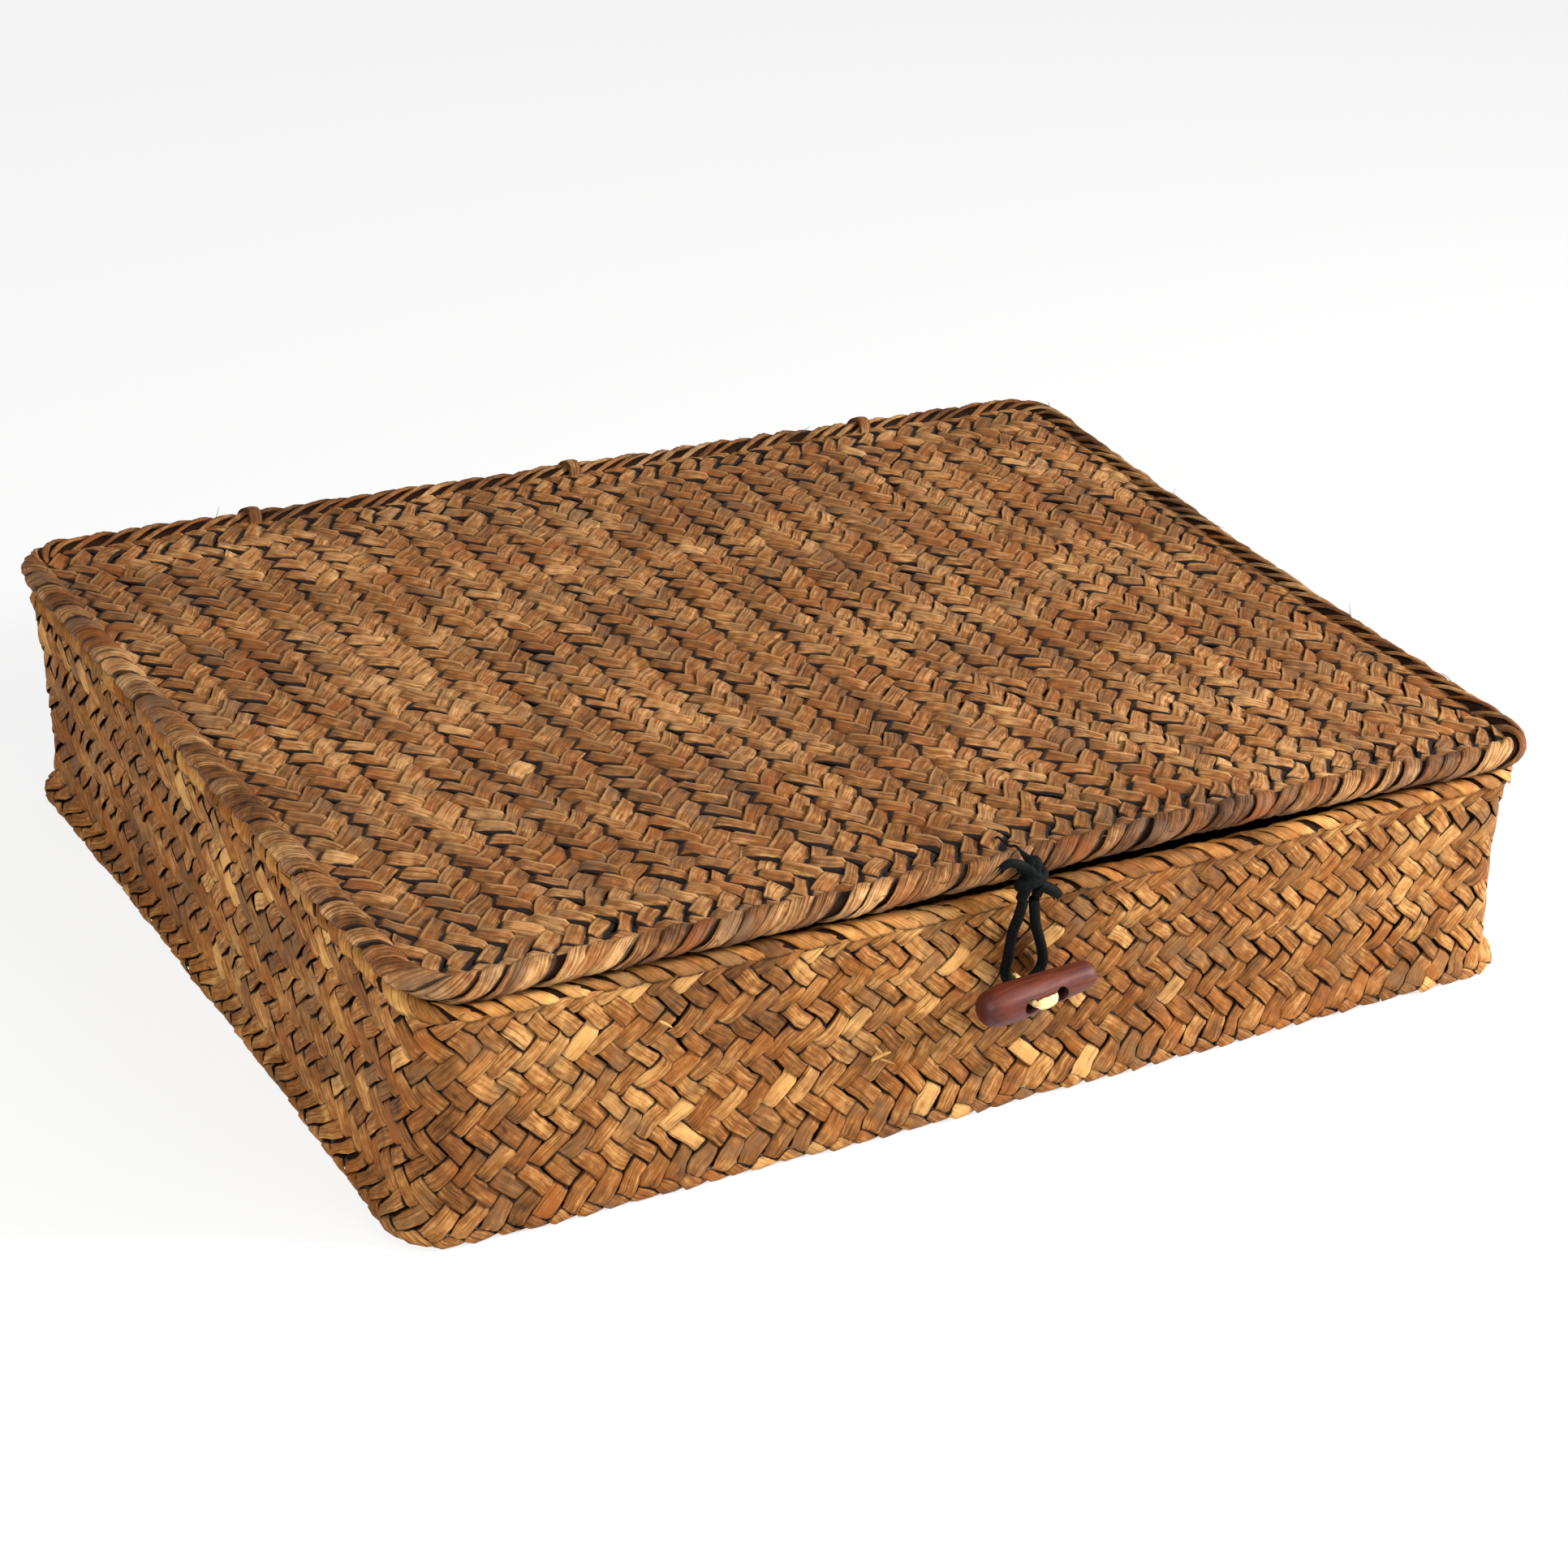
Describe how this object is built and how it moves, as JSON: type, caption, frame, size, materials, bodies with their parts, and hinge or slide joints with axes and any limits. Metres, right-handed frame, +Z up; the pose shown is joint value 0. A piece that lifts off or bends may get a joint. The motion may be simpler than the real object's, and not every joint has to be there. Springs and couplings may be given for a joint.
{
  "type": "woven lidded box",
  "caption": "Flat rectangular box plaited from sedge strips, with a hinged lid, wrapped borders and a loop and toggle closure.",
  "frame": {"origin": "middle of the underside of the tray", "axes": "+Z up, +X to the right along the front, the front with the toggle faces -Y"},
  "size_m": [0.4032, 0.315, 0.0902],
  "materials": {
    "sedge_wall": "dried plaited sedge, golden brown, satin",
    "sedge_lid": "dried plaited sedge, darker and pinker brown, satin",
    "sedge_border": "dried sedge wrapped round a hoop, satin",
    "straw_tie": "pale straw strip, satin",
    "frame_wire": "drawn wire, dull",
    "black_cord": "braided elastic cord, matte",
    "toggle_wood": "turned and stained wood, waxed satin"
  },
  "bodies": {
    "tray": {"tray_outer_weave": "sedge_wall", "tray_lining_weave": "sedge_wall", "rim_hoop": "frame_wire", "foot_hoop": "frame_wire", "rim_border": "sedge_border", "corner_post_front_left": "frame_wire", "corner_post_front_right": "frame_wire", "corner_post_back_left": "frame_wire", "corner_post_back_right": "frame_wire", "hinge_tie_left": "sedge_border", "hinge_tie_middle": "sedge_border", "hinge_tie_right": "sedge_border"},
    "lid": {"lid_top_weave": "sedge_lid", "lid_lining_weave": "sedge_lid", "lid_hoop": "frame_wire", "lid_border": "sedge_border", "loop_anchor": "black_cord", "loop_stop_knot": "black_cord", "loop_knot": "black_cord", "loop_tail_left": "black_cord", "loop_tail_right": "black_cord"},
    "loop": {"loop_cord": "black_cord"},
    "toggle": {"toggle": "toggle_wood", "toggle_tie": "straw_tie", "tie_knot": "straw_tie"}
  },
  "joints": [
    {"name": "lid_hinge", "type": "hinge", "parent": "tray", "child": "lid", "pos_m": [0, 0.1455, 0.0835], "axis": [-1, 0, 0], "range_deg": [0, 110], "deforming": ["loop_cord"]},
    {"name": "loop_swing", "type": "hinge", "parent": "lid", "child": "loop", "pos_m": [-0.0085, -0.1538, 0.076], "axis": [-1, 0, 0], "range_deg": [0, 100], "deforming": ["loop_cord"]},
    {"name": "toggle_swivel", "type": "hinge", "parent": "tray", "child": "toggle", "pos_m": [-0.0026, -0.157, 0.045], "axis": [0, -1, 0], "range_deg": [-90, 90]}
  ]
}
